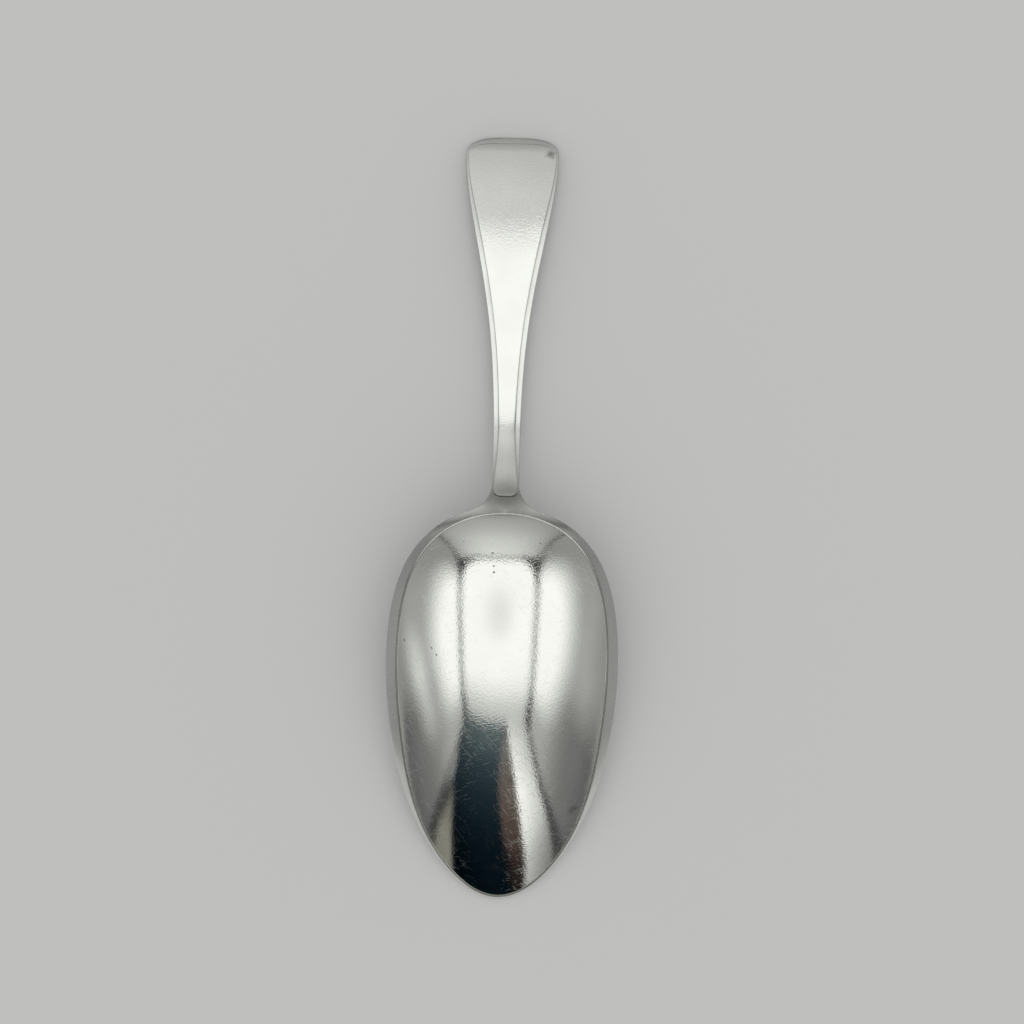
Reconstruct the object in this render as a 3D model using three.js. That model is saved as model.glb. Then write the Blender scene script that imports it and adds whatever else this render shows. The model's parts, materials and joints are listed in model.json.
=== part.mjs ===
// A spoon that lies face down: a drawn bowl shell, a frame that is its rim, neck and handle strip,
// a plate on the back of the handle, and the two layers of solder that join them.
// Millimetres, Z up. The spoon lies along Y with the end of its handle at +Y.
// The origin is on the table, under the middle of its length.

import * as THREE from 'three';
import { mergeVertices } from 'three/addons/utils/BufferGeometryUtils.js';

const { clamp, degToRad, lerp, mapLinear, smoothstep } = THREE.MathUtils;

// Bowl
const BOWL_LENGTH = 78.2;
const BOWL_WIDTH = 44.6; // across the middle of its length
const BOWL_DEPTH = 10.2; // from the rim to the bottom of the hollow
const SHELL_THICKNESS = 1.0;
const FULLNESS = { outside: 1.6, hollow: 1.3 }; // 1 is a half ellipsoid, and more has flatter walls
const DEPTH_SKEW = 0.37; // how much deeper the hollow is towards the heel
const SWELL = { first: 0.155, second: 0.107, third: 0.145 }; // how the outline widens towards the heel

// Rim, bevelled from the bowl down to its outer edge
const RIM_THICKNESS = 2.6;
const TIP_THICKNESS = 1.1;
const RIM_EDGE = 0.6;
const SIDE_FLANGE = 2.15;
const HEEL_FLANGE = 1.2;
const TIP_FLANGE = 0.5;
const RIM_TAPER = { from: -0.05, to: -0.9 }; // along the bowl, where -1 is the tip

// Handle
const HANDLE_LENGTH = 73.7;
const STEM_WIDTH = 5.4;
const STEM_THICKNESS = 1.7;
const END_WIDTH = 18.5;
const END_ROUND = 3.5;
const END_SQUARENESS = 3.3; // 2 is a half ellipse, and more is squarer
const END_THICKNESS = 0.7;
const FLARE_DELAY = 1.71; // 1 widens evenly, and more keeps the stem slim for longer
const NECK_FILLET = 4.6;
const FILLET_PULL = { rim: 0.57, stem: 0.67 }; // how far it keeps each side's direction
const THICKENING = 6; // before the heel, where the rim starts to take on the stem's thickness
const EDGE_CHAMFER = 0.3;
const CHAMFER_LIMIT = 1 / 3; // of the width or thickness that it is cut from

// Back plate
const PLATE_THICKNESS = 0.9;
const PLATE_CROWN = 0.15;
const PLATE_START = 2.1; // from the heel
const PLATE_INSET = { foot: 0.35, stem: 1.0, shoulder: 0.4, end: 1.55 };
const FOOT_FLARE = 13; // length over which the plate widens to its foot
const SHOULDER_FLARE = 18; // and to its shoulder
const FOOT_ROUND = 1.2;
const FOOT_SQUARENESS = 4;
const FOOT_THICKNESS = 0.2;
const FOOT_TAPER = 7; // length over which the plate thins to its foot

// Side view
const RIM_ANGLE = degToRad(8.5);
const STEM_SWEEP = 8.7; // 1 is straight, and more drops sooner towards the table
const CREST_SOFTNESS = 1.2;
const END_DROP = 1.5; // how far the end of the handle turns down
const END_TURN = 22.4; // and the length over which it does

// Solder
const SOLDER_GAP = 0.3; // between the pieces that it joins
const SOLDER_CLEARANCE = 0.05;
const SOLDER_SETBACK = 0.25; // from the plate's edge

// Steps of the faceted surfaces, on one side of the spoon
const BOWL_STEPS = 36;
const DOME_RINGS = 10;
const NECK_STEPS = 10;
const CROWN_STEPS = 2;
const HANDLE_STEPS = 32;
const END_STEPS = 8;
const SAME_PLACE = 1e-5;

// Places along the spoon
const Y_TIP = -(BOWL_LENGTH + HANDLE_LENGTH) / 2;
const Y_HEEL = Y_TIP + BOWL_LENGTH;
const Y_END = Y_HEEL + HANDLE_LENGTH;
const Y_STEM = Y_HEEL + NECK_FILLET;
const Y_SHOULDER = Y_END - END_ROUND;
const Y_FOOT = Y_HEEL + PLATE_START;

// Heights above the table

// The front face: a straight rim that rises from the tip, a stem that sweeps down and turns down again to the
// flat end of the handle, and a soft crest where they meet at the heel
function frontHeight(y) {
  const rim = Math.tan(RIM_ANGLE) * (y - Y_TIP);
  const neckDrop = Math.tan(RIM_ANGLE) * BOWL_LENGTH - END_DROP;
  const sweep = Math.max(0, (Y_SHOULDER - y) / (Y_SHOULDER - Y_HEEL));
  const turn = clamp(1 - (Y_SHOULDER - y) / END_TURN, 0, 1);
  const stem = neckDrop * sweep ** STEM_SWEEP + END_DROP * (1 - turn ** 2);
  return -CREST_SOFTNESS * Math.log(Math.exp(-rim / CREST_SOFTNESS) + Math.exp(-stem / CREST_SOFTNESS));
}

// How much of its full width and thickness the rim has, from the tip to the sides
function rimShare(along) {
  return smoothstep(along, RIM_TAPER.to, RIM_TAPER.from);
}

function rimThickness(y) {
  return lerp(TIP_THICKNESS, RIM_THICKNESS, rimShare(mapLinear(y, Y_TIP, Y_HEEL, -1, 1)));
}

// The rounded end thins from the shoulder on, so that its back keeps the slope that it has there
function handleThickness(y) {
  const share = clamp((y - Y_SHOULDER) / END_ROUND, 0, 1);
  const thinning = STEM_THICKNESS - END_THICKNESS;
  const shoulderSlope = (2 * END_DROP) / END_TURN;
  const lead = clamp((shoulderSlope * END_ROUND) / thinning, 0, 1);
  return STEM_THICKNESS - thinning * share * lerp(share, 1, lead);
}

// How much of the handle's thickness the frame has, from the rim to the plate's foot
function handleShare(y) {
  return smoothstep(y, Y_HEEL - THICKENING, Y_FOOT);
}

// The back of the frame along its outer edge
function frameEdge(y) {
  return frontHeight(y) + lerp(RIM_EDGE, handleThickness(y), handleShare(y));
}

// The back of the frame along the bowl's opening and the middle of the handle
function frameMiddle(y) {
  return frontHeight(y) + lerp(rimThickness(y), handleThickness(y), handleShare(y));
}

function plateFront(y) {
  return frameMiddle(y) + SOLDER_GAP;
}

function plateEdge(y) {
  const taper = smoothstep(y, Y_FOOT, Y_FOOT + FOOT_TAPER);
  return plateFront(y) + lerp(FOOT_THICKNESS, PLATE_THICKNESS, taper);
}

function plateMiddle(y) {
  return plateEdge(y) + PLATE_CROWN;
}

// Outlines, on the +X side

// A point of the bowl in plan. Reach runs from 0 at its middle to 1 at its outline, and the angle from
// -90 degrees at the tip to 90 at the heel. A flange of 0 is the frame's outer edge and 1 its opening, and
// inset goes on inwards from there.
function bowlPoint(reach, angle, flange, inset) {
  const along = reach * Math.sin(angle);
  const swell = 1 + along * (SWELL.first + along * (SWELL.second + along * SWELL.third));
  const side = flange * lerp(TIP_FLANGE, SIDE_FLANGE, rimShare(along)) + inset;
  const tip = Y_TIP + flange * TIP_FLANGE + inset;
  const heel = Y_HEEL - flange * HEEL_FLANGE - inset;
  const x = reach * Math.cos(angle) * ((BOWL_WIDTH / 2) * swell - side);
  return new THREE.Vector2(x, mapLinear(along, -1, 1, tip, heel));
}

function flare(y) {
  const share = clamp((y - Y_STEM) / (Y_SHOULDER - Y_STEM), 0, 1);
  return smoothstep(share ** FLARE_DELAY, 0, 1);
}

function handleHalfWidth(y) {
  return lerp(STEM_WIDTH, END_WIDTH, flare(y)) / 2;
}

function plateHalfWidth(y, inset) {
  const footInset = lerp(PLATE_INSET.foot, PLATE_INSET.stem, smoothstep(y, Y_FOOT, Y_FOOT + FOOT_FLARE));
  const shoulderShare = smoothstep(y, Y_SHOULDER - SHOULDER_FLARE, Y_SHOULDER);
  return handleHalfWidth(y) - lerp(footInset, PLATE_INSET.shoulder, shoulderShare) - inset;
}

// A point of a rounded end that reaches from halfWidth at baseY to the middle line at tipY
function roundedEnd(angle, halfWidth, baseY, tipY, squareness) {
  const x = halfWidth * Math.max(0, Math.cos(angle)) ** (2 / squareness);
  return new THREE.Vector2(x, lerp(baseY, tipY, Math.sin(angle)));
}

// The angle at which the bowl's outline has this half width, near the heel
function heelAngle(halfWidth) {
  let low = 0;
  let high = Math.PI / 2;
  while (high - low > SAME_PLACE) {
    const middle = (low + high) / 2;
    if (bowlPoint(1, middle, 0, 0).x > halfWidth) low = middle;
    else high = middle;
  }
  return low;
}

// Pairs of points, one on a piece's outline and one further in, from the end nearest the tip to the other

function steps(count) {
  return Array.from({ length: count + 1 }, (_, index) => index / count);
}

function onMiddleLine(y) {
  return new THREE.Vector2(0, y);
}

function bowlRing(startAngle, endAngle, count, outerEdge, innerEdge) {
  return steps(count).map((share) => {
    const angle = lerp(startAngle, endAngle, share);
    return { outer: outerEdge(angle), inner: innerEdge(angle) };
  });
}

// The fillet between the rim and the stem. Its inner points follow the opening to the heel, and then the
// middle line.
function neckPairs(startAngle) {
  const rimEnd = bowlPoint(1, startAngle, 0, 0);
  const rimDirection = rimEnd.clone().sub(bowlPoint(1, startAngle - SAME_PLACE, 0, 0)).normalize();
  const stemStart = new THREE.Vector2(STEM_WIDTH / 2, Y_STEM);
  const fillet = new THREE.CubicBezierCurve(
    rimEnd,
    rimEnd.clone().addScaledVector(rimDirection, NECK_FILLET * FILLET_PULL.rim),
    stemStart.clone().setY(Y_STEM - NECK_FILLET * FILLET_PULL.stem),
    stemStart,
  );
  const heel = bowlPoint(1, Math.PI / 2, 1, 0);
  return steps(NECK_STEPS).map((share) => {
    const ringShare = Math.min(1, share * 2);
    const stemShare = Math.max(0, share * 2 - 1);
    const onOpening = bowlPoint(1, lerp(startAngle, Math.PI / 2, ringShare), 1, 0);
    const inner = stemShare > 0 ? onMiddleLine(lerp(heel.y, stemStart.y, stemShare)) : onOpening;
    return { outer: fillet.getPoint(share), inner };
  });
}

function sidePairs(fromY, toY, halfWidth) {
  return steps(HANDLE_STEPS).map((share) => {
    const y = lerp(fromY, toY, share);
    return { outer: new THREE.Vector2(halfWidth(y), y), inner: onMiddleLine(y) };
  });
}

function endPairs(halfWidth, baseY, tipY, squareness) {
  return steps(END_STEPS).map((share) => {
    const angle = (share * Math.PI) / 2;
    return { outer: roundedEnd(angle, halfWidth, baseY, tipY, squareness), inner: onMiddleLine(baseY) };
  });
}

function framePairs() {
  const neckAngle = heelAngle(STEM_WIDTH / 2 + NECK_FILLET);
  const outerEdge = (angle) => bowlPoint(1, angle, 0, 0);
  const opening = (angle) => bowlPoint(1, angle, 1, 0);
  return [
    ...bowlRing(-Math.PI / 2, neckAngle, BOWL_STEPS, outerEdge, opening),
    ...neckPairs(neckAngle),
    ...sidePairs(Y_STEM, Y_SHOULDER, handleHalfWidth),
    ...endPairs(END_WIDTH / 2, Y_SHOULDER, Y_END, END_SQUARENESS),
  ];
}

function platePairs(inset) {
  const footTop = Y_FOOT + FOOT_ROUND;
  const halfWidth = (y) => plateHalfWidth(y, inset);
  const end = Y_END - PLATE_INSET.end - inset;
  return [
    ...endPairs(halfWidth(footTop), footTop, Y_FOOT + inset, FOOT_SQUARENESS).reverse(),
    ...sidePairs(footTop, Y_SHOULDER, halfWidth),
    ...endPairs(halfWidth(Y_SHOULDER), Y_SHOULDER, end, END_SQUARENESS),
  ];
}

// Sections, each a closed loop that goes up its outer side and down its inner side

function raise(point, height, lift = 0) {
  return new THREE.Vector3(point.x, point.y, height(point.y) + lift);
}

// A strip between two points in plan, with its outer edges chamfered. Its back goes from the height of its
// edge to the height of its middle, straight in one step and rounded in more.
function stripSection({ outer, inner }, { front, edge, middle }, chamfer, backSteps) {
  const inward = inner.clone().sub(outer);
  const thickness = edge(outer.y) - front(outer.y);
  const cut = Math.min(chamfer, CHAMFER_LIMIT * inward.length(), CHAMFER_LIMIT * thickness);
  const shoulder = outer.clone().add(inward.clone().setLength(cut));
  const back = steps(backSteps).map((share) => {
    const place = shoulder.clone().lerp(inner, share);
    const rise = backSteps > 1 ? share * (2 - share) : share;
    return new THREE.Vector3(place.x, place.y, lerp(edge(place.y), middle(place.y), rise));
  });
  const side = [raise(shoulder, front), raise(outer, front, cut), raise(outer, edge, -cut)];
  return [...side, ...back, raise(inner, front)];
}

// Height of a dome above its edge, as a share of its depth
function domeShare(reach, along, fullness) {
  const edge = Math.sqrt(fullness ** 2 - 1);
  const round = (Math.sqrt(fullness ** 2 - reach ** 2) - edge) / (fullness - edge);
  return round * (1 + DEPTH_SKEW * along);
}

function shellSection(angle) {
  const reaches = steps(DOME_RINGS).map((share) => Math.sin((share * Math.PI) / 2));
  const innerPoint = (reach) => {
    const place = bowlPoint(reach, angle, 1, SOLDER_GAP + SHELL_THICKNESS);
    return raise(place, frontHeight, BOWL_DEPTH * domeShare(reach, reach * Math.sin(angle), FULLNESS.hollow));
  };
  const outerPoint = (reach) => {
    const place = bowlPoint(reach, angle, 1, SOLDER_GAP);
    const rise = BOWL_DEPTH + SHELL_THICKNESS - rimThickness(place.y);
    return raise(place, frameMiddle, rise * domeShare(reach, reach * Math.sin(angle), FULLNESS.outside));
  };
  const footOfWall = raise(bowlPoint(1, angle, 1, SOLDER_GAP), frontHeight);
  return [footOfWall, ...reaches.toReversed().map(outerPoint), ...reaches.map(innerPoint)];
}

// A closed skin through sections that run from the plane X = 0 round the +X side and back to it, with its
// mirror image. Faces on that plane would lie inside the piece, so they are left out.
function mirroredSweep(sections) {
  const corners = [];
  const addTriangle = (a, b, c) => {
    const flat = a.distanceTo(b) < SAME_PLACE || b.distanceTo(c) < SAME_PLACE || c.distanceTo(a) < SAME_PLACE;
    const onPlane = Math.max(a.x, b.x, c.x) < SAME_PLACE;
    if (flat || onPlane) return;
    corners.push(a.x, a.y, a.z, b.x, b.y, b.z, c.x, c.y, c.z);
    corners.push(-a.x, a.y, a.z, -c.x, c.y, c.z, -b.x, b.y, b.z);
  };
  for (let index = 1; index < sections.length; index += 1) {
    const before = sections[index - 1];
    const after = sections[index];
    for (let place = 0; place < before.length; place += 1) {
      const next = (place + 1) % before.length;
      addTriangle(before[place], after[place], after[next]);
      addTriangle(before[place], after[next], before[next]);
    }
  }
  const geometry = new THREE.BufferGeometry();
  geometry.setAttribute('position', new THREE.Float32BufferAttribute(corners, 3));
  const joined = mergeVertices(geometry);
  joined.computeVertexNormals();
  return joined;
}

// Pieces

function bowlShellGeometry() {
  const angles = steps(BOWL_STEPS).map((share) => lerp(-Math.PI / 2, Math.PI / 2, share));
  return mirroredSweep(angles.map(shellSection));
}

function rimFrameGeometry() {
  const heights = { front: frontHeight, edge: frameEdge, middle: frameMiddle };
  return mirroredSweep(framePairs().map((pair) => stripSection(pair, heights, EDGE_CHAMFER, 1)));
}

function backPlateGeometry() {
  const heights = { front: plateFront, edge: plateEdge, middle: plateMiddle };
  return mirroredSweep(platePairs(0).map((pair) => stripSection(pair, heights, EDGE_CHAMFER, CROWN_STEPS)));
}

function bowlSeamGeometry() {
  const outerEdge = (angle) => bowlPoint(1, angle, 1, SOLDER_CLEARANCE);
  const innerEdge = (angle) => bowlPoint(1, angle, 1, SOLDER_GAP - SOLDER_CLEARANCE);
  const pairs = bowlRing(-Math.PI / 2, Math.PI / 2, BOWL_STEPS, outerEdge, innerEdge);
  const back = (y) => frameMiddle(y) - SOLDER_CLEARANCE;
  const heights = { front: frontHeight, edge: back, middle: back };
  return mirroredSweep(pairs.map((pair) => stripSection(pair, heights, 0, 1)));
}

function handleSolderGeometry() {
  const back = (y) => plateFront(y) - SOLDER_CLEARANCE;
  const heights = { front: (y) => frameMiddle(y) + SOLDER_CLEARANCE, edge: back, middle: back };
  return mirroredSweep(platePairs(SOLDER_SETBACK).map((pair) => stripSection(pair, heights, 0, 1)));
}

function piece(name, geometry, color, roughness) {
  const material = new THREE.MeshStandardMaterial({ color, roughness, metalness: 1 });
  const mesh = new THREE.Mesh(geometry, material);
  mesh.name = name;
  return mesh;
}

const spoon = new THREE.Group();
spoon.add(
  piece('bowl_shell', bowlShellGeometry(), 0xd6d7d2, 0.12),
  piece('rim_frame', rimFrameGeometry(), 0xb9bbb6, 0.28),
  piece('handle_back_plate', backPlateGeometry(), 0xcfd0cb, 0.24),
  piece('bowl_solder_seam', bowlSeamGeometry(), 0x8b8d89, 0.45),
  piece('handle_solder_layer', handleSolderGeometry(), 0x8b8d89, 0.45),
);

export default spoon;
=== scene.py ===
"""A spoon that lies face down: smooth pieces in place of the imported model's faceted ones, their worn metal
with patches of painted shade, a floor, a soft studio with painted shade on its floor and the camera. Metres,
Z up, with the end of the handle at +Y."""

import json
import math

import bmesh
import bpy
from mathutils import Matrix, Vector
from mathutils.kdtree import KDTree

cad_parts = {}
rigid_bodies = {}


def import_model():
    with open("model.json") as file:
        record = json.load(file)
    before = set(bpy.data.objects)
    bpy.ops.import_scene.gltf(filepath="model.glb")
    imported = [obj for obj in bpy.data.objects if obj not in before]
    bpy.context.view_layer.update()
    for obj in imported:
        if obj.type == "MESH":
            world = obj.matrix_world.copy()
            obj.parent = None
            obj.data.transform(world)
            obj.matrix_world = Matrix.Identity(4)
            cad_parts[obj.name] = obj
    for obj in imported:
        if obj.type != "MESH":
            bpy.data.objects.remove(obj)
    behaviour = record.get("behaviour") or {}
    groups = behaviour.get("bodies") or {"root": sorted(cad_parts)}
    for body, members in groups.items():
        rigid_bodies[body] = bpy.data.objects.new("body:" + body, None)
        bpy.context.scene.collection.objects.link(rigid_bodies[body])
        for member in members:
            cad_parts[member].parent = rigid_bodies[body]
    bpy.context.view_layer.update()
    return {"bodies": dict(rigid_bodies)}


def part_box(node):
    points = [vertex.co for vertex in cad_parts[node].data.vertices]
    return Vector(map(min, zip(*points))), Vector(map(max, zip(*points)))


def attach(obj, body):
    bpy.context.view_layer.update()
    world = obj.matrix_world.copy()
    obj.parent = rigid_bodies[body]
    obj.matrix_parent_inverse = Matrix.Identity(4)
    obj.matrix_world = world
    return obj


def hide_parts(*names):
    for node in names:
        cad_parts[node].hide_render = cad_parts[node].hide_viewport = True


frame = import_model()
(BODY,) = frame["bodies"]

# Bowl, as in the part's source
BOWL_WIDTH = 0.0446
BOWL_DEPTH = 0.0102
SHELL_THICKNESS = 0.001
FULLNESS_OUTSIDE = 1.6  # 1 is a half ellipsoid, and more has flatter walls
FULLNESS_HOLLOW = 1.3
DEPTH_SKEW = 0.37  # how much deeper the bowl is towards the heel
SWELL = (0.155, 0.107, 0.145)  # how the outline widens towards the heel

# Rim
RIM_THICKNESS = 0.0026
TIP_THICKNESS = 0.0011
RIM_EDGE = 0.0006
SIDE_FLANGE = 0.00215
HEEL_FLANGE = 0.0012
RIM_TAPER_FROM = -0.05  # along the bowl, where -1 is the tip and 1 the heel
RIM_TAPER_TO = -0.9

# Handle
STEM_WIDTH = 0.0054
STEM_THICKNESS = 0.0017
END_WIDTH = 0.0185
END_ROUND = 0.0035
END_SQUARENESS = 3.3  # 2 is a half ellipse, and more is squarer
END_THICKNESS = 0.0007
FLARE_DELAY = 1.71  # 1 widens evenly, and more keeps the stem slim for longer
NECK_FILLET = 0.0046
FILLET_PULL_RIM = 0.57  # how far the fillet keeps each side's direction
FILLET_PULL_STEM = 0.67
THICKENING = 0.006

# Back plate
PLATE_THICKNESS = 0.0009
PLATE_CROWN = 0.00015
PLATE_INSET_FOOT = 0.00035
PLATE_INSET_STEM = 0.001
PLATE_INSET_SHOULDER = 0.0004
FOOT_FLARE = 0.013
SHOULDER_FLARE = 0.018
FOOT_ROUND = 0.0012
FOOT_SQUARENESS = 4
FOOT_THICKNESS = 0.0002
FOOT_TAPER = 0.007

# Side view
RIM_SLOPE = math.tan(math.radians(8.5))
STEM_SWEEP = 8.7  # 1 is straight, and more drops sooner towards the table
CREST_SOFTNESS = 0.0012
END_DROP = 0.0015
END_TURN = 0.0224

# Solder
SOLDER_GAP = 0.0003
SOLDER_CLEARANCE = 0.00005
SOLDER_SETBACK = 0.00025

# Worn edges
EDGE_ROUNDING = 0.0002
ROUNDING_LIMIT = 1 / 3  # of the width or thickness that is rounded
CREASE_REACH = 0.0006
SOLDER_CLIMB = 0.00012
CLIMB_FADE = 0.015

# Worn metal and its painted shade: sizes and depths in metres, and the range of each noise that counts
# The colour of tarnish, also used for the painted shade on the neck and on the back plate's foot
TARNISH_AND_SHADE = (0.24, 0.23, 0.21)
SCRATCH_SIZE = (0.0035, 0.00005, 0.003)
SCRATCH_DETAIL = 1.0
SCRATCH_RANGE = (0.70, 0.76)
SCRATCH_DEPTH = 0.000003
SCRATCH_DULLING = 0.10
WAVE_SIZE = 0.007
WAVE_DETAIL = 0.0
WAVE_DEPTH = 0.000012
HAZE_SIZE = (0.012, 0.009, 0.012)
HAZE_DETAIL = 5.0
HAZE_RANGE = (0.35, 0.7)
TONE_DETAIL = 4.0
TONE_RANGE = (0.3, 0.7)
DARKER_TONE = 0.96
SPECK_SPACING = 0.006
SPECK_RADIUS = 0.015  # as a share of the spacing
SPECK_FROM = 0.5  # the shade from which a cell has a speck
SOILED_DULLING = 0.25
SEAM_DIRT = (0.05, 0.20)
SEAM_DIRT_RANGE = (0.3, 0.65)
# Pits, and the soft patches of painted shade on the neck and the plate's foot that are drawn like them
PIT_DEPTH = 0.00004
PIT_DETAIL = 3.0
PIT_WOBBLE = 1.2  # how ragged a pit's edge is, as a share of its radius
NECK_SHADE_RADIUS = 0.008
FOOT_SHADE_RADIUS = 0.006

# Steps of the smooth surfaces, on one side of the spoon
BOWL_STEPS = 110
DOME_RINGS = 44
HOLLOW_RINGS = 24
NECK_STEPS = 28
HANDLE_STEPS = 100
END_STEPS = 28
ROUND_STEPS = 4
BACK_STEPS = 8
SAME_PLACE = 1e-7
SHARP_EDGE = math.radians(60)
DIRECTION_STEP = 1e-5

# Places along the spoon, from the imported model
Y_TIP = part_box("rim_frame")[0].y
Y_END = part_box("rim_frame")[1].y
Y_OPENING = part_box("bowl_shell")[1].y + SOLDER_GAP
Y_HEEL = Y_OPENING + HEEL_FLANGE
Y_STEM = Y_HEEL + NECK_FILLET
Y_SHOULDER = Y_END - END_ROUND
Y_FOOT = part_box("handle_back_plate")[0].y
Y_PLATE_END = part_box("handle_back_plate")[1].y
TIP_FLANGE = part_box("bowl_shell")[0].y - SOLDER_GAP - Y_TIP

# Camera, straight above the spoon
CAMERA_PLACE = (0.00135, 0.00123, 0.2844)
CAMERA_ROLL = math.radians(1.2)
CAMERA_LENS = 50
CAMERA_SENSOR = 36
CAMERA_NEAREST = 0.01

# Floor and light
FLOOR_SIZE = 60
FLOOR_COLOUR = (0.74, 0.74, 0.73)
SKY_LEVEL = 0.88

# White tent that the metal reflects, open at the front
TENT_LEFT = -0.2
TENT_RIGHT = 0.149
TENT_BACK = 0.146
TENT_TOP = 0.28
TENT_SEAM = 0.006
BACK_SEAM = 0.005
TENT_MARGIN = 0.03  # how far the ceiling and the back reach past the walls
GAP_LEVEL = 0.06
SEAM_LEVEL = 0.6
SEAM_SOFTNESS = 0.03
PANEL_STEPS = 120

# Its ceiling
CEILING_INSET = 0.004
CEILING_FRONT = -0.231
CEILING_CORNER = 0.06
CEILING_CRISPNESS_BACK = 3  # 1 is as soft as the sides
CEILING_CRISPNESS_FRONT = 0.6
CEILING_CORNER_SOFTNESS = 0.005
CEILING_BACK_CORNER = (0.08, 0.09)
CEILING_BACK_CORNER_SOFTNESS = 0.15
CEILING_LEVEL = 1.08
CEILING_FRONT_LEVEL = 0.55
CEILING_FADE = -0.13
LENS_PLACE = (-0.012, -0.01)
LENS_RADIUS = 0.095
LENS_SHARE = 0.79  # of the light is left where the camera looks through

# Its walls, with a pool of light at the top of each side wall and a streak on the left one
WALL_FRONT = -0.262
WALL_LEVEL = 0.41
WALL_LOW_FRONT_LEVEL = 0.175
WALL_HIGH_FRONT_LEVEL = 0.42
WALL_FRONT_RISE = (0.05, 0.2)
WALL_FRONT_FADE = (-0.13, -0.075)
WALL_BACK_LEVEL = 0.29
WALL_BACK_FADE = (-0.07, 0.08)
WALL_CORNER_DEPTH = (0.06, 0.13)
WALL_CORNER_RISE = (0.21, 0.28)
WALL_FOOT_HEIGHT = 0.05
SIDE_FOOT_SHARE = 0.72
BACK_FOOT_SHARE = 0.4
RECESS_HEIGHT = 0.16
RECESS_SOFTNESS = 0.01
POOL_END = 1.05  # of its size, where a pool of light has faded
LEFT_WALL = {
    "middle": -0.053,
    "length": 0.175,
    "height": 0.194,
    "clear": 0.55,
    "streak": 1,
    "recess": 0,
}
RIGHT_WALL = {
    "middle": -0.042,
    "length": 0.163,
    "height": 0.212,
    "clear": 0.65,
    "streak": 0,
    "recess": 0.03,
}
STREAK_LEVEL = 0.36
STREAK_HEIGHT = 0.038
STREAK_CLIMB = 0.5  # its slope towards the front
STREAK_BACK = -0.04
STREAK_WIDTH = 0.045
STREAK_RISE = (-0.03, -0.1)
STREAK_FALL = (-0.2, -0.12)
BACK_LOW_LEVEL = 0.28
BACK_TOP_LEVEL = 0.76
BACK_FULL_HEIGHT = 0.25
BACK_CORNER_LOSS = 0.55
# Painted shade: dark cards just above the floor at both sides, seen only in reflections, in the side walls'
# grey
FLOOR_SHADE_EDGE = 0.045
FLOOR_SHADE_HEIGHT = 0.0005

# What stands in its opening: the tints of its foot and of its top, the share of light at its right end,
# and rungs of a height, a left and a right end and a level
OPENING = -0.266
OPENING_HEIGHT = 0.4
WHITE = (1.0, 1.0, 1.0)
FLAGS = {
    "dark_flag": (
        ((0.05, 0.5, 1.0), (0.75, 0.95, 1.0)),
        1.25,
        (
            (0, -0.118, 0.082, 0.003),
            (0.06, -0.132, 0.055, 0.005),
            (0.1, -0.148, 0.014, 0.0115),
            (0.155, -0.178, -0.002, 0.028),
            (0.21, -0.19, -0.003, 0.05),
            (0.33, -0.2, 0.02, 0.14),
        ),
    ),
    "side_flag": (
        (WHITE, WHITE),
        1.0,
        (
            (0.11, -0.2, -0.2, 0.24),
            (0.155, -0.2, -0.178, 0.3),
            (0.21, -0.2, -0.19, 0.36),
        ),
    ),
    "pale_flag": (
        ((1.0, 0.97, 0.84), (1.0, 0.97, 0.84)),
        1.0,
        (
            (0, -0.178, -0.118, 0.2),
            (0.045, -0.177, -0.127, 0.26),
            (0.13, -0.163, -0.16, 0.14),
        ),
    ),
    "brown_flag": (
        ((1.0, 0.5, 0.38), (1.0, 1.0, 0.95)),
        1.0,
        (
            (0, 0.082, 0.082, 0.008),
            (0.06, 0.055, 0.076, 0.013),
            (0.1, 0.014, 0.066, 0.075),
            (0.155, -0.002, 0.060, 0.115),
            (0.21, -0.003, 0.053, 0.135),
            (0.285, 0.012, 0.043, 0.2),
        ),
    ),
    "white_flag": (
        (WHITE, WHITE),
        0.55,
        (
            (0, 0.082, 0.147, 0.3),
            (0.06, 0.076, 0.147, 0.52),
            (0.1, 0.066, 0.143, 1.0),
            (0.155, 0.060, 0.139, 1.15),
            (0.21, 0.053, 0.139, 1.0),
            (0.33, 0.03, 0.140, 0.68),
        ),
    ),
}


def grey(level):
    return (level, level, level)


def lerp(start, end, share):
    return start + (end - start) * share


def clamp(value):
    return min(max(value, 0.0), 1.0)


def smoothstep(value, low, high):
    share = clamp((value - low) / (high - low))
    return share * share * (3 - 2 * share)


def steps(count):
    return [index / count for index in range(count + 1)]


# Heights above the table


def front_height(y):
    rim = RIM_SLOPE * (y - Y_TIP)
    neck_drop = RIM_SLOPE * (Y_HEEL - Y_TIP) - END_DROP
    sweep = max(0.0, (Y_SHOULDER - y) / (Y_SHOULDER - Y_HEEL))
    turn = clamp(1 - (Y_SHOULDER - y) / END_TURN)
    stem = neck_drop * sweep**STEM_SWEEP + END_DROP * (1 - turn**2)
    return -CREST_SOFTNESS * math.log(math.exp(-rim / CREST_SOFTNESS) + math.exp(-stem / CREST_SOFTNESS))


def rim_share(along):
    return smoothstep(along, RIM_TAPER_TO, RIM_TAPER_FROM)


def rim_thickness(y):
    along = lerp(-1, 1, (y - Y_TIP) / (Y_HEEL - Y_TIP))
    return lerp(TIP_THICKNESS, RIM_THICKNESS, rim_share(along))


def handle_thickness(y):
    share = clamp((y - Y_SHOULDER) / END_ROUND)
    thinning = STEM_THICKNESS - END_THICKNESS
    lead = clamp(2 * END_DROP / END_TURN * END_ROUND / thinning)
    return STEM_THICKNESS - thinning * share * lerp(share, 1, lead)


def handle_share(y):
    return smoothstep(y, Y_HEEL - THICKENING, Y_FOOT)


def frame_edge(y):
    return front_height(y) + lerp(RIM_EDGE, handle_thickness(y), handle_share(y))


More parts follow.
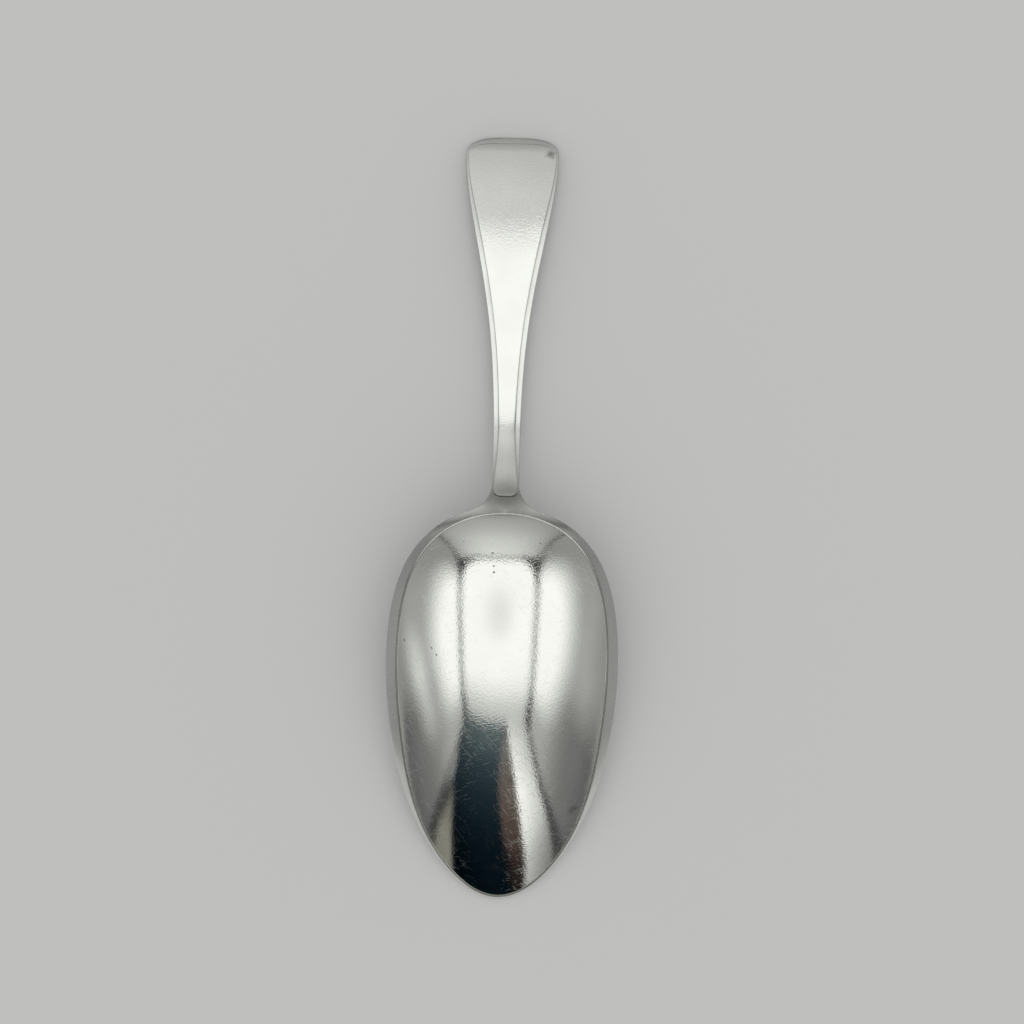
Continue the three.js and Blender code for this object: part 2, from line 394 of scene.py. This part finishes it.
def frame_middle(y):
    return front_height(y) + lerp(rim_thickness(y), handle_thickness(y), handle_share(y))


def plate_front(y):
    return frame_middle(y) + SOLDER_GAP


def plate_edge(y):
    taper = smoothstep(y, Y_FOOT, Y_FOOT + FOOT_TAPER)
    return plate_front(y) + lerp(FOOT_THICKNESS, PLATE_THICKNESS, taper)


def plate_middle(y):
    return plate_edge(y) + PLATE_CROWN


def seam_outer(y):
    return frame_middle(y) - SOLDER_CLEARANCE


def seam_inner(y):
    """The bowl's solder is flat at the heel and climbs the shell's edge away from there."""
    flat = clamp(1 - (Y_OPENING - y) / CLIMB_FADE)
    return frame_middle(y) + lerp(SOLDER_CLIMB, -SOLDER_CLEARANCE, flat)


def solder_front(y):
    return frame_middle(y) + SOLDER_CLEARANCE


def solder_back(y):
    return plate_front(y) - SOLDER_CLEARANCE


# Outlines in plan, on the +X side


def bowl_point(reach, angle, flange, inset):
    """Reach is 0 at the bowl's middle and 1 at its outline, and the angle goes from the tip to the heel.
    A flange of 0 is the frame's outer edge and 1 its opening, and inset goes on inwards from there."""
    along = reach * math.sin(angle)
    swell = 1 + along * (SWELL[0] + along * (SWELL[1] + along * SWELL[2]))
    side = flange * lerp(TIP_FLANGE, SIDE_FLANGE, rim_share(along)) + inset
    tip = Y_TIP + flange * TIP_FLANGE + inset
    heel = Y_HEEL - flange * HEEL_FLANGE - inset
    x = reach * math.cos(angle) * (BOWL_WIDTH / 2 * swell - side)
    return Vector((x, lerp(tip, heel, (along + 1) / 2)))


def handle_half_width(y):
    share = clamp((y - Y_STEM) / (Y_SHOULDER - Y_STEM))
    return lerp(STEM_WIDTH, END_WIDTH, smoothstep(share**FLARE_DELAY, 0, 1)) / 2


def plate_half_width(y, inset):
    foot_inset = lerp(PLATE_INSET_FOOT, PLATE_INSET_STEM, smoothstep(y, Y_FOOT, Y_FOOT + FOOT_FLARE))
    shoulder_share = smoothstep(y, Y_SHOULDER - SHOULDER_FLARE, Y_SHOULDER)
    return handle_half_width(y) - lerp(foot_inset, PLATE_INSET_SHOULDER, shoulder_share) - inset


def rounded_end(angle, half_width, base, tip, squareness):
    x = half_width * max(0.0, math.cos(angle)) ** (2 / squareness)
    return Vector((x, lerp(base, tip, math.sin(angle))))


def heel_angle(half_width):
    """The angle at which the bowl's outline has this half width, near the heel."""
    low, high = 0.0, math.pi / 2
    while high - low > SAME_PLACE:
        middle = (low + high) / 2
        if bowl_point(1, middle, 0, 0).x > half_width:
            low = middle
        else:
            high = middle
    return low


# Pairs of points in plan, one on a piece's outline and one further in


def on_middle_line(y):
    return Vector((0.0, y))


def ring_pairs(start, end, count, outer_place, inner_place):
    """Each place is a flange and an inset of the bowl's outline."""
    angles = [lerp(start, end, share) for share in steps(count)]
    return [(bowl_point(1, angle, *outer_place), bowl_point(1, angle, *inner_place)) for angle in angles]


def cubic(points, share):
    """A point of a curve with four control points."""
    rest = 1 - share
    weights = (rest**3, 3 * rest**2 * share, 3 * rest * share**2, share**3)
    return sum((point * weight for point, weight in zip(points, weights)), Vector((0.0, 0.0)))


def neck_pairs(start):
    rim_end = bowl_point(1, start, 0, 0)
    rim_direction = (rim_end - bowl_point(1, start - DIRECTION_STEP, 0, 0)).normalized()
    stem_start = Vector((STEM_WIDTH / 2, Y_STEM))
    fillet = (
        rim_end,
        rim_end + rim_direction * NECK_FILLET * FILLET_PULL_RIM,
        stem_start - Vector((0.0, NECK_FILLET * FILLET_PULL_STEM)),
        stem_start,
    )
    pairs = []
    for share in steps(NECK_STEPS):
        on_ring = bowl_point(1, lerp(start, math.pi / 2, min(1, share * 2)), 1, 0)
        on_stem = on_middle_line(lerp(Y_OPENING, Y_STEM, max(0, share * 2 - 1)))
        pairs.append((cubic(fillet, share), on_stem if share > 0.5 else on_ring))
    return pairs


def side_pairs(start, end, half_width):
    places = [lerp(start, end, share) for share in steps(HANDLE_STEPS)]
    return [(Vector((half_width(y), y)), on_middle_line(y)) for y in places]


def end_pairs(half_width, base, tip, squareness):
    angles = [share * math.pi / 2 for share in steps(END_STEPS)]
    outline = [rounded_end(angle, half_width, base, tip, squareness) for angle in angles]
    return [(spot, on_middle_line(base)) for spot in outline]


def frame_pairs():
    neck_angle = heel_angle(STEM_WIDTH / 2 + NECK_FILLET)
    ring = ring_pairs(-math.pi / 2, neck_angle, BOWL_STEPS, (0, 0), (1, 0))
    side = side_pairs(Y_STEM, Y_SHOULDER, handle_half_width)
    end = end_pairs(END_WIDTH / 2, Y_SHOULDER, Y_END, END_SQUARENESS)
    return ring + neck_pairs(neck_angle)[1:] + side[1:] + end[1:]


def plate_pairs(inset, foot_inset):
    foot_top = Y_FOOT + FOOT_ROUND

    def half_width(y):
        return plate_half_width(y, inset)

    foot = end_pairs(half_width(foot_top), foot_top, Y_FOOT + foot_inset, FOOT_SQUARENESS)
    side = side_pairs(foot_top, Y_SHOULDER, half_width)
    end = end_pairs(half_width(Y_SHOULDER), Y_SHOULDER, Y_PLATE_END - inset, END_SQUARENESS)
    return foot[::-1] + side[1:] + end[1:]


# Sections, each a closed loop that goes up its outer side and down its inner side


def strip_section(pair, heights, rounding, lead=1):
    """A strip between two points in plan with its outer edges rounded. Its back goes from the height of
    its edge to the height of its middle, straight for a lead of 1 and crowned for 2."""
    outer, inner = pair
    front, edge, middle = heights
    width = (inner - outer).length
    radius = min(rounding, ROUNDING_LIMIT * width, ROUNDING_LIMIT * (edge(outer.y) - front(outer.y)))
    slope = math.atan2(lead * (middle(inner.y) - edge(inner.y)), width)
    turn = math.pi / 2 - slope
    crest = radius * ((1 - math.cos(turn)) * math.tan(slope) + 1 - math.sin(turn))

    def place(distance, height, lift=0.0):
        spot = outer.lerp(inner, distance / width)
        return Vector((spot.x, spot.y, height(spot.y) + lift))

    section = []
    for share in steps(ROUND_STEPS):
        angle = share * math.pi / 2
        section.append(place(radius * (1 - math.sin(angle)), front, radius * (1 - math.cos(angle))))
    for share in steps(ROUND_STEPS):
        angle = share * turn
        section.append(place(radius * (1 - math.cos(angle)), edge, crest - radius * (1 - math.sin(angle))))
    back_start = radius * (1 - math.cos(turn)) / width
    for share in steps(BACK_STEPS)[1:]:
        spot_share = lerp(back_start, 1, share)
        rise = spot_share if lead == 1 else spot_share * (2 - spot_share)
        spot = outer.lerp(inner, spot_share)
        section.append(Vector((spot.x, spot.y, lerp(edge(spot.y), middle(spot.y), rise))))
    return section + [place(width, front)]


def dome_share(reach, along, fullness):
    """Height of a dome above its edge, as a share of its depth."""
    edge = math.sqrt(fullness**2 - 1)
    rise = (math.sqrt(fullness**2 - reach**2) - edge) / (fullness - edge)
    return rise * (1 + DEPTH_SKEW * along)


def dome_place(side, reach, angle):
    """A point of the bowl's outside."""
    spot = bowl_point(reach, angle, 1, SOLDER_GAP)
    rise = BOWL_DEPTH + SHELL_THICKNESS - rim_thickness(spot.y)
    dome = rise * dome_share(reach, reach * math.sin(angle), FULLNESS_OUTSIDE)
    return Vector((side * spot.x, spot.y, frame_middle(spot.y) + dome))


def hollow_place(reach, angle):
    spot = bowl_point(reach, angle, 1, SOLDER_GAP + SHELL_THICKNESS)
    dome = BOWL_DEPTH * dome_share(reach, reach * math.sin(angle), FULLNESS_HOLLOW)
    return Vector((spot.x, spot.y, front_height(spot.y) + dome))


def shell_section(angle):
    foot = bowl_point(1, angle, 1, SOLDER_GAP)
    outside = [dome_place(1, math.sin(share * math.pi / 2), angle) for share in reversed(steps(DOME_RINGS))]
    hollow = [hollow_place(math.sin(share * math.pi / 2), angle) for share in steps(HOLLOW_RINGS)]
    return [Vector((foot.x, foot.y, front_height(foot.y)))] + outside + hollow


# Meshes


def mirrored_mesh(name, sections):
    """A closed skin through sections on the +X side, with its mirror image. Faces on the plane between
    the two would lie inside the piece, so they are left out."""
    work = bmesh.new()
    for side in (1, -1):
        rows = [[work.verts.new((side * p.x, p.y, p.z)) for p in section] for section in sections]
        for before, after in zip(rows, rows[1:]):
            for index, corner in enumerate(before):
                following = (index + 1) % len(before)
                corners = [corner, after[index], after[following], before[following]]
                if max(abs(vertex.co.x) for vertex in corners) > SAME_PLACE:
                    work.faces.new(corners[::side])
    bmesh.ops.remove_doubles(work, verts=work.verts, dist=SAME_PLACE)
    bmesh.ops.dissolve_degenerate(work, edges=work.edges, dist=SAME_PLACE)
    bmesh.ops.recalc_face_normals(work, faces=work.faces)
    mesh = bpy.data.meshes.new(name)
    work.to_mesh(mesh)
    work.free()
    mesh.shade_smooth()
    mesh.set_sharp_from_angle(angle=SHARP_EDGE)
    return mesh


def mark_creases(mesh, line):
    """Stores how near each vertex is to a seam, 1 on it and 0 away from it."""
    tree = KDTree(len(line))
    for index, point in enumerate(line):
        tree.insert(point, index)
    tree.balance()
    distances = [tree.find(vertex.co)[2] for vertex in mesh.vertices]
    values = [1 - smoothstep(distance, 0, CREASE_REACH) for distance in distances]
    mesh.attributes.new("crease", "FLOAT", "POINT").data.foreach_set("value", values)


def seam_line():
    """Points along both seams: round the bowl's opening and round the back plate."""
    opening = [pair[1] for pair in ring_pairs(-math.pi / 2, math.pi / 2, BOWL_STEPS * 2, (0, 0), (1, 0))]
    spots = opening + [pair[0] for pair in plate_pairs(0, 0)]
    return [Vector((side * spot.x, spot.y, frame_middle(spot.y))) for spot in spots for side in (1, -1)]


# Materials


class Graph:
    """A node tree that is filled by plain calls."""

    def __init__(self, tree):
        self.tree = tree
        tree.nodes.clear()

    def node(self, kind, inputs, **settings):
        made = self.tree.nodes.new(kind)
        for name, value in settings.items():
            setattr(made, name, value)
        for socket, value in inputs.items():
            if isinstance(value, bpy.types.NodeSocket):
                self.tree.links.new(value, made.inputs[socket])
            else:
                made.inputs[socket].default_value = value
        return made

    def math(self, operation, *values):
        return self.node("ShaderNodeMath", dict(enumerate(values)), operation=operation).outputs[0]

    def ramp(self, value, low, high, start=0.0, end=1.0):
        inputs = {"Value": value, "From Min": low, "From Max": high, "To Min": start, "To Max": end}
        return self.node("ShaderNodeMapRange", inputs, interpolation_type="SMOOTHSTEP").outputs["Result"]

    def mix(self, share, first, second):
        """A colour between two others. The node has its colours at inputs 6 and 7 and at output 2."""
        return self.node("ShaderNodeMix", {0: share, 6: first, 7: second}, data_type="RGBA").outputs[2]

    def place(self):
        return self.node("ShaderNodeTexCoord", {}).outputs["Object"]

    def attribute(self, name, output):
        return self.node("ShaderNodeAttribute", {}, attribute_name=name).outputs[output]

    def grain(self, size, turn=0.0, detail=2.0):
        """Noise whose spots have this size along X, Y and Z, turned about Z."""
        inputs = {"Vector": self.place(), "Rotation": (0, 0, turn), "Scale": size}
        spots = self.node("ShaderNodeMapping", inputs, vector_type="TEXTURE").outputs["Vector"]
        noise = {"Vector": spots, "Scale": 1.0, "Detail": detail}
        return self.node("ShaderNodeTexNoise", noise).outputs["Fac"]

    def bump(self, height, depth, normal=None):
        inputs = {"Height": height, "Distance": depth, "Strength": 1.0}
        if normal:
            inputs["Normal"] = normal
        return self.node("ShaderNodeBump", inputs).outputs["Normal"]


def colour(red, green, blue):
    return (red, green, blue, 1.0)


def worn_metal(name, base, shine, grain_size, grain_depth, scratch_turns, seam_dirt, pits_and_shade=()):
    """Metal with a fine grain, a slight wave, hairline scratches, specks, small hollows, haze and dirt along
    the seams, and soft patches of painted shade where they are given. Shine is the roughness of its clearest
    and of its haziest places, and each hollow or patch of shade is a place, a radius and how dark it is."""
    material = bpy.data.materials.new(name)
    material.use_nodes = True
    graph = Graph(material.node_tree)
    haze = graph.grain(HAZE_SIZE, detail=HAZE_DETAIL)
    fine = graph.grain((grain_size,) * 3)
    roughness = graph.ramp(haze, *HAZE_RANGE, *shine)
    normal = graph.bump(graph.grain((WAVE_SIZE,) * 3, detail=WAVE_DETAIL), WAVE_DEPTH)
    normal = graph.bump(fine, grain_depth, normal)
    for turn in scratch_turns:
        line = graph.ramp(graph.grain(SCRATCH_SIZE, turn, SCRATCH_DETAIL), *SCRATCH_RANGE)
        roughness = graph.math("MULTIPLY_ADD", line, SCRATCH_DULLING, roughness)
        normal = graph.bump(graph.math("MULTIPLY", line, -1.0), SCRATCH_DEPTH, normal)
    cells = graph.node("ShaderNodeTexVoronoi", {"Vector": graph.place(), "Scale": 1 / SPECK_SPACING})
    shade = graph.node("ShaderNodeSeparateColor", {0: cells.outputs["Color"]}).outputs[0]
    speck = graph.ramp(cells.outputs["Distance"], SPECK_RADIUS, SPECK_RADIUS * 2, 1.0, 0.0)
    dents_and_shade = graph.math("MULTIPLY", graph.math("GREATER_THAN", shade, SPECK_FROM), speck)
    # Pits, and soft patches of painted shade drawn the same way
    for place, radius, darkness in pits_and_shade:
        inputs = {0: graph.place(), 1: place}
        distance = graph.node("ShaderNodeVectorMath", inputs, operation="DISTANCE").outputs["Value"]
        lobes = graph.grain((radius,) * 3, detail=PIT_DETAIL)
        ragged = graph.math("MULTIPLY_ADD", lobes, radius * PIT_WOBBLE, distance)
        middle = radius * PIT_WOBBLE / 2
        pit_and_shade = graph.ramp(ragged, middle, middle + radius, darkness, 0.0)
        dents_and_shade = graph.math("MAXIMUM", dents_and_shade, pit_and_shade)
    dirtiness = graph.ramp(haze, *SEAM_DIRT_RANGE, *seam_dirt)
    dirt = graph.math("MULTIPLY", graph.attribute("crease", "Fac"), dirtiness)
    # Seam dirt, specks, pits and the patches of painted shade pull the colour towards tarnish and dull it
    soil_and_shade = graph.math("MAXIMUM", dirt, dents_and_shade)
    normal = graph.bump(graph.math("MULTIPLY", dents_and_shade, -1.0), PIT_DEPTH, normal)
    darker = colour(*[channel * DARKER_TONE for channel in base])
    tone = graph.ramp(graph.grain((WAVE_SIZE,) * 3, detail=TONE_DETAIL), *TONE_RANGE)
    inputs = {
        "Base Color": graph.mix(soil_and_shade, graph.mix(tone, darker, colour(*base)), colour(*TARNISH_AND_SHADE)),
        "Metallic": 1.0,
        "Roughness": graph.math("MULTIPLY_ADD", soil_and_shade, SOILED_DULLING, roughness),
        "Normal": normal,
    }
    surface = graph.node("ShaderNodeBsdfPrincipled", inputs)
    graph.node("ShaderNodeOutputMaterial", {"Surface": surface.outputs[0]})
    return material


def dome_pit(side, reach, degrees, radius, darkness=1.0):
    return dome_place(side, reach, math.radians(degrees)), radius, darkness


# A soft dark patch of painted shade on the frame's middle line
def frame_shade_patch(y, radius, darkness):
    return Vector((0, y, frame_middle(y))), radius, darkness


# A dark spot on the back plate, used for a tarnish spot and for a patch of painted shade
def plate_pit_and_shade(x, y, radius, darkness):
    return Vector((x, y, plate_middle(y))), radius, darkness


MATERIALS = {
    "polished_bowl": worn_metal(
        "worn polished bowl",
        base=(0.876, 0.89, 0.835),
        shine=(0.05, 0.08),
        grain_size=0.00036,
        grain_depth=0.000015,
        scratch_turns=(0.35, 2.2),
        seam_dirt=SEAM_DIRT,
        pits_and_shade=(
            dome_pit(-1, 0.812, 84.2, 0.00036),
            dome_pit(-1, 0.748, 84.4, 0.00024),
            dome_pit(-1, 0.718, 84.2, 0.00034),
            dome_pit(1, 0.900, 73.2, 0.0003),
            dome_pit(-1, 0.910, 71.5, 0.0002),
            dome_pit(-1, 0.705, 27.6, 0.00028),
            dome_pit(-1, 0.657, 26.5, 0.0003),
            dome_pit(-1, 0.945, 22.0, 0.00034),
            dome_pit(1, 0.920, -34.3, 0.0016, darkness=0.6),
        ),
    ),
    "satin_frame": worn_metal(
        "worn satin frame with painted shade",
        base=(0.84, 0.855, 0.81),
        shine=(0.18, 0.26),
        grain_size=0.0003,
        grain_depth=0.000005,
        scratch_turns=(0.2,),
        seam_dirt=SEAM_DIRT,
        # Painted shade: a soft dark patch over the neck
        pits_and_shade=(frame_shade_patch(Y_HEEL, NECK_SHADE_RADIUS, darkness=0.45),),
    ),
    "satin_plate": worn_metal(
        "worn satin plate with painted shade",
        base=(0.885, 0.895, 0.848),
        shine=(0.12, 0.16),
        grain_size=0.00035,
        grain_depth=0.00002,
        scratch_turns=(),
        seam_dirt=SEAM_DIRT,
        pits_and_shade=(
            plate_pit_and_shade(0.0077, 0.0722, 0.0014, darkness=0.8),
            # Painted shade: a soft dark patch over the plate's foot
            plate_pit_and_shade(0, Y_FOOT, FOOT_SHADE_RADIUS, darkness=0.4),
        ),
    ),
    "solder": worn_metal(
        "dull solder",
        base=(0.72, 0.735, 0.69),
        shine=(0.28, 0.4),
        grain_size=0.0003,
        grain_depth=0.00001,
        scratch_turns=(),
        seam_dirt=(0.05, 0.25),
    ),
}

# Pieces


def add_piece(name, node, slot, sections):
    mesh = mirrored_mesh(name, sections)
    mark_creases(mesh, SEAM_LINE)
    mesh.materials.append(MATERIALS[slot])
    piece = bpy.data.objects.new(name, mesh)
    bpy.context.scene.collection.objects.link(piece)
    piece.modifiers.new("even shading", "WEIGHTED_NORMAL").keep_sharp = True
    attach(piece, BODY)
    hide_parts(node)


SEAM_LINE = seam_line()
bowl_angles = [lerp(-math.pi / 2, math.pi / 2, share) for share in steps(BOWL_STEPS)]
seam_pairs = ring_pairs(
    -math.pi / 2,
    math.pi / 2,
    BOWL_STEPS,
    (1, SOLDER_CLEARANCE),
    (1, SOLDER_GAP - SOLDER_CLEARANCE),
)
frame_heights = (front_height, frame_edge, frame_middle)
plate_heights = (plate_front, plate_edge, plate_middle)
seam_heights = (front_height, seam_outer, seam_inner)
solder_heights = (solder_front, solder_back, solder_back)

add_piece("bowl", "bowl_shell", "polished_bowl", [shell_section(angle) for angle in bowl_angles])
add_piece(
    "rim_and_handle",
    "rim_frame",
    "satin_frame",
    [strip_section(pair, frame_heights, EDGE_ROUNDING) for pair in frame_pairs()],
)
add_piece(
    "back_plate",
    "handle_back_plate",
    "satin_plate",
    [strip_section(pair, plate_heights, EDGE_ROUNDING, lead=2) for pair in plate_pairs(0, 0)],
)
add_piece(
    "bowl_seam",
    "bowl_solder_seam",
    "solder",
    [strip_section(pair, seam_heights, 0) for pair in seam_pairs],
)
add_piece(
    "handle_seam",
    "handle_solder_layer",
    "solder",
    [strip_section(pair, solder_heights, 0) for pair in plate_pairs(SOLDER_SETBACK, SOLDER_CLEARANCE)],
)

# Studio


def add_floor():
    work = bmesh.new()
    bmesh.ops.create_grid(work, x_segments=1, y_segments=1, size=FLOOR_SIZE / 2)
    mesh = bpy.data.meshes.new("floor")
    work.to_mesh(mesh)
    work.free()
    material = bpy.data.materials.new("pale floor")
    material.use_nodes = True
    graph = Graph(material.node_tree)
    surface = graph.node("ShaderNodeBsdfDiffuse", {"Color": colour(*FLOOR_COLOUR)})
    graph.node("ShaderNodeOutputMaterial", {"Surface": surface.outputs[0]})
    mesh.materials.append(material)
    floor = bpy.data.objects.new("floor", mesh)
    bpy.context.scene.collection.objects.link(floor)


def glowing_material():
    material = bpy.data.materials.new("glowing card")
    material.use_nodes = True
    graph = Graph(material.node_tree)
    surface = graph.node("ShaderNodeEmission", {"Color": graph.attribute("glow", "Color")})
    graph.node("ShaderNodeOutputMaterial", {"Surface": surface.outputs[0]})
    material.cycles.emission_sampling = "NONE"
    return material


def add_card(name, material, rows):
    """A card that only shows in reflections, from rows of places and their colours."""
    work = bmesh.new()
    lines = [[work.verts.new(place) for place, _ in row] for row in rows]
    for low, high in zip(lines, lines[1:]):
        for index in range(len(low) - 1):
            work.faces.new((low[index], low[index + 1], high[index + 1], high[index]))
    mesh = bpy.data.meshes.new(name)
    work.to_mesh(mesh)
    work.free()
    glow = mesh.color_attributes.new("glow", "FLOAT_COLOR", "POINT")
    values = [channel for row in rows for _, shade in row for channel in (*shade, 1.0)]
    glow.data.foreach_set("color", values)
    mesh.materials.append(material)
    card = bpy.data.objects.new(name, mesh)
    bpy.context.scene.collection.objects.link(card)
    card.visible_camera = False
    card.visible_diffuse = False
    card.visible_transmission = False
    card.visible_shadow = False


def panel(corner, across, up, glow):
    """Rows of a flat panel, with a colour for each place."""
    rows = []
    for height in steps(PANEL_STEPS):
        start = Vector(corner) + Vector(up) * height
        spots = [start + Vector(across) * share for share in steps(PANEL_STEPS)]
        rows.append([(spot, grey(glow(spot))) for spot in spots])
    return rows


def flag(tints, right_share, rungs):
    """Rows of an upright card in the opening."""
    rows = []
    top = rungs[-1][0]
    for height, left, right, level in rungs:
        left_shade = [level * lerp(*channels, height / top) for channels in zip(*tints)]
        right_shade = [channel * right_share for channel in left_shade]
        left_place = Vector((left, OPENING, height))
        right_place = Vector((right, OPENING, height))
        rows.append([(left_place, left_shade), (right_place, right_shade)])
    return rows


def back_corner_shade(across, back):
    """How dark the ceiling is outside its round back corners, from the distances to its edges."""
    side = max(1 - across / CEILING_BACK_CORNER[0], 0)
    depth = max(1 - back / CEILING_BACK_CORNER[1], 0)
    outside = smoothstep(math.hypot(side, depth), 1 - CEILING_BACK_CORNER_SOFTNESS, 1)
    return outside * smoothstep(min(side, depth), 0, CEILING_BACK_CORNER_SOFTNESS)


def ceiling_glow(spot):
    """White, with soft sides and dark round corners, dimmer at its front and round the camera."""
    across = min(spot.x - TENT_LEFT, TENT_RIGHT - spot.x) - CEILING_INSET
    front = spot.y - CEILING_FRONT
    back = TENT_BACK - BACK_SEAM - spot.y
    along = min(CEILING_CRISPNESS_FRONT * front, CEILING_CRISPNESS_BACK * back)
    inside = CEILING_CORNER - math.hypot(max(CEILING_CORNER - across, 0), max(CEILING_CORNER - along, 0))
    lens = math.dist(spot.xy, LENS_PLACE)
    level = lerp(CEILING_FRONT_LEVEL, CEILING_LEVEL, smoothstep(spot.y, CEILING_FRONT, CEILING_FADE))
    level *= lerp(LENS_SHARE, 1, smoothstep(lens, 0, LENS_RADIUS))
    edge_level = lerp(GAP_LEVEL, SEAM_LEVEL, smoothstep(inside, -CEILING_CORNER_SOFTNESS, 0))
    level = lerp(edge_level, level, smoothstep(inside, 0, SEAM_SOFTNESS))
    return lerp(level, GAP_LEVEL, back_corner_shade(across, back))


def foot_share(spot, lowest):
    """How much of its light a wall keeps near the table."""
    return lerp(lowest, 1, smoothstep(spot.z, 0, WALL_FOOT_HEIGHT))


def dim_glow(spot):
    """The grey of the side walls outside their pools of light, also used for the painted shade on the floor
    beside the spoon.
    """
    high = smoothstep(spot.z, *WALL_FRONT_RISE)
    front = lerp(WALL_LOW_FRONT_LEVEL, WALL_HIGH_FRONT_LEVEL, high)
    level = lerp(front, WALL_LEVEL, smoothstep(spot.y, *WALL_FRONT_FADE))
    level = lerp(level, WALL_BACK_LEVEL, smoothstep(spot.y, *WALL_BACK_FADE))
    return foot_share(spot, SIDE_FOOT_SHARE) * level


def streak_glow(spot):
    """A soft streak that climbs a side wall towards the front."""
    height = STREAK_HEIGHT + STREAK_CLIMB * (STREAK_BACK - spot.y)
    across = 1 - smoothstep(abs(spot.z - height), 0, STREAK_WIDTH)
    return STREAK_LEVEL * across * smoothstep(spot.y, *STREAK_RISE) * smoothstep(spot.y, *STREAK_FALL)


def wall_glow(middle, length, height, clear, streak, recess):
    """A soft pool of light at the top of a grey side wall, and its share of the streak. The pool is even to
    the share of its size that clear gives, and fades from there. The wall's front edge leans back by the
    recess."""

    def glow(spot):
        reach = math.hypot((spot.y - middle) / length, (TENT_TOP - spot.z) / height)
        low = dim_glow(spot) + streak * streak_glow(spot)
        level = lerp(CEILING_LEVEL, low, smoothstep(reach, clear, POOL_END))
        front = WALL_FRONT + recess * clamp(1 - spot.z / RECESS_HEIGHT)
        level = lerp(GAP_LEVEL, level, smoothstep(spot.y, front, front + RECESS_SOFTNESS))
        corner = smoothstep(spot.y, *WALL_CORNER_DEPTH) * smoothstep(spot.z, *WALL_CORNER_RISE)
        level = lerp(level, GAP_LEVEL, corner)
        seam = min(SEAM_LEVEL, level)
        return lerp(seam, level, smoothstep(TENT_TOP - TENT_SEAM - spot.z, 0, SEAM_SOFTNESS))

    return glow


def back_glow(spot):
    """Grey that gets lighter upwards and darker to the corners."""
    level = lerp(BACK_LOW_LEVEL, BACK_TOP_LEVEL, clamp(spot.z / BACK_FULL_HEIGHT))
    side = 2 * (spot.x - TENT_LEFT) / (TENT_RIGHT - TENT_LEFT) - 1
    level *= foot_share(spot, BACK_FOOT_SHARE) * (1 - BACK_CORNER_LOSS * side**2)
    inside = min(spot.x - TENT_LEFT, TENT_RIGHT - spot.x)
    return lerp(GAP_LEVEL, level, smoothstep(inside, 0, TENT_SEAM))


def gap_glow(_):
    """What shows between the cards."""
    return GAP_LEVEL


def add_cards():
    material = glowing_material()
    outer_left = TENT_LEFT - TENT_MARGIN
    outer_width = TENT_RIGHT + TENT_MARGIN - outer_left
    wall_depth = TENT_BACK - TENT_SEAM - WALL_FRONT
    wall_top = TENT_TOP - TENT_SEAM
    ceiling = (
        (outer_left, CEILING_FRONT, TENT_TOP),
        (outer_width, 0, 0),
        (0, TENT_BACK + TENT_MARGIN - CEILING_FRONT, 0),
    )
    add_card("ceiling", material, panel(*ceiling, ceiling_glow))
    left = ((TENT_LEFT, WALL_FRONT, 0), (0, wall_depth, 0), (0, 0, wall_top))
    add_card("left_wall", material, panel(*left, wall_glow(**LEFT_WALL)))
    right = ((TENT_RIGHT, WALL_FRONT, 0), (0, wall_depth, 0), (0, 0, wall_top))
    add_card("right_wall", material, panel(*right, wall_glow(**RIGHT_WALL)))
    # Painted shade on the floor: dark cards just above it at the sides, which only the metal's reflections
    # show
    for name, start, end in (("left", TENT_LEFT, -FLOOR_SHADE_EDGE), ("right", FLOOR_SHADE_EDGE, TENT_RIGHT)):
        floor_shade = ((start, WALL_FRONT, FLOOR_SHADE_HEIGHT), (end - start, 0, 0), (0, wall_depth, 0))
        add_card(name + "_skirt", material, panel(*floor_shade, dim_glow))
    back = ((outer_left, TENT_BACK, 0), (outer_width, 0, 0), (0, 0, TENT_TOP - BACK_SEAM))
    add_card("back_wall", material, panel(*back, back_glow))
    front = ((outer_left, OPENING - TENT_SEAM, 0), (outer_width, 0, 0), (0, 0, OPENING_HEIGHT))
    add_card("front_gap", material, panel(*front, gap_glow))
    for name, (tints, right_share, rungs) in FLAGS.items():
        add_card(name, material, flag(tints, right_share, rungs))


def set_sky():
    world = bpy.data.worlds.new("soft sky")
    world.use_nodes = True
    graph = Graph(world.node_tree)
    sky = graph.node("ShaderNodeBackground", {"Strength": SKY_LEVEL})
    graph.node("ShaderNodeOutputWorld", {"Surface": sky.outputs[0]})
    bpy.context.scene.world = world


def add_camera():
    lens = bpy.data.cameras.new("camera")
    lens.lens = CAMERA_LENS
    lens.sensor_width = CAMERA_SENSOR
    lens.clip_start = CAMERA_NEAREST
    camera = bpy.data.objects.new("camera", lens)
    camera.location = CAMERA_PLACE
    camera.rotation_euler = (0, 0, CAMERA_ROLL)
    bpy.context.scene.collection.objects.link(camera)
    bpy.context.scene.camera = camera


add_floor()
add_cards()
set_sky()
add_camera()
bpy.context.scene.view_settings.view_transform = "Standard"
